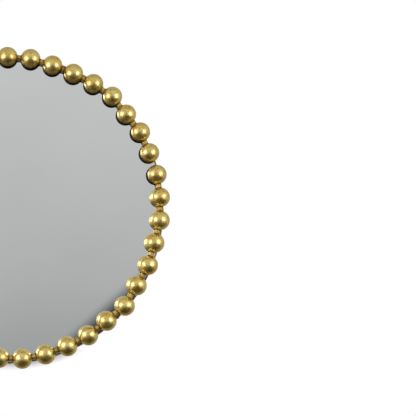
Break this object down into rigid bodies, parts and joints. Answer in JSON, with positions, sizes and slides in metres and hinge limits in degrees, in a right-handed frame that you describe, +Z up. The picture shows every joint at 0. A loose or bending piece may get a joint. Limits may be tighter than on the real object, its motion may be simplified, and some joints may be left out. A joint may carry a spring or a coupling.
{
  "type": "ball-framed wall mirror",
  "caption": "Round flat wall mirror edged with a strand of gilt metal balls on a slim hoop, with a backing board, swinging D-rings and rubber feet.",
  "frame": {"origin": "in the wall plane behind the mirror, on the axis of the glass", "axes": "+Z up, +Y into the wall, so the mirror faces -Y"},
  "size_m": [0.8151, 0.0721, 0.8155],
  "materials": {
    "gilt_ball": "aged gold leaf over metal, satin with a worn patina",
    "gilt_link": "aged gold leaf, satin",
    "gilt_hoop": "aged gold leaf, darker in the corners",
    "silvered_glass": "silvered float glass with a polished arris",
    "felt": "thin grey felt",
    "fibreboard": "dark brown fibreboard",
    "brassed_screw": "brass-plated steel",
    "zinc_strap": "zinc-plated sheet steel",
    "zinc_wire": "zinc-plated wire",
    "zinc_screw": "zinc-plated steel",
    "rubber": "matt black rubber"
  },
  "bodies": {
    "mirror": {"ball_01": "gilt_ball", "ball_02": "gilt_ball", "ball_03": "gilt_ball", "ball_04": "gilt_ball", "ball_05": "gilt_ball", "ball_06": "gilt_ball", "ball_07": "gilt_ball", "ball_08": "gilt_ball", "ball_09": "gilt_ball", "ball_10": "gilt_ball", "ball_11": "gilt_ball", "ball_12": "gilt_ball", "ball_13": "gilt_ball", "ball_14": "gilt_ball", "ball_15": "gilt_ball", "ball_16": "gilt_ball", "ball_17": "gilt_ball", "ball_18": "gilt_ball", "ball_19": "gilt_ball", "ball_20": "gilt_ball", "ball_21": "gilt_ball", "ball_22": "gilt_ball", "ball_23": "gilt_ball", "ball_24": "gilt_ball", "ball_25": "gilt_ball", "ball_26": "gilt_ball", "ball_27": "gilt_ball", "ball_28": "gilt_ball", "ball_29": "gilt_ball", "ball_30": "gilt_ball", "ball_31": "gilt_ball", "ball_32": "gilt_ball", "ball_33": "gilt_ball", "ball_34": "gilt_ball", "ball_35": "gilt_ball", "ball_36": "gilt_ball", "ball_37": "gilt_ball", "ball_38": "gilt_ball", "ball_39": "gilt_ball", "ball_40": "gilt_ball", "ball_41": "gilt_ball", "ball_links": "gilt_link", "rim_hoop": "gilt_hoop", "mirror_glass": "silvered_glass", "glass_liner": "felt", "backing_board": "fibreboard", "rim_screws": "brassed_screw", "hanger_strap_left": "zinc_strap", "hanger_strap_right": "zinc_strap", "hanger_screws": "zinc_screw", "wall_bumpers": "rubber"},
    "left_ring": {"hanger_ring_left": "zinc_wire"},
    "right_ring": {"hanger_ring_right": "zinc_wire"}
  },
  "joints": [
    {"name": "left_ring_swing", "type": "hinge", "parent": "mirror", "child": "left_ring", "pos_m": [-0.2, -0.0047, 0.2], "axis": [1, 0, 0], "range_deg": [0, 175]},
    {"name": "right_ring_swing", "type": "hinge", "parent": "mirror", "child": "right_ring", "pos_m": [0.2, -0.0047, 0.2], "axis": [1, 0, 0], "range_deg": [0, 175]}
  ]
}
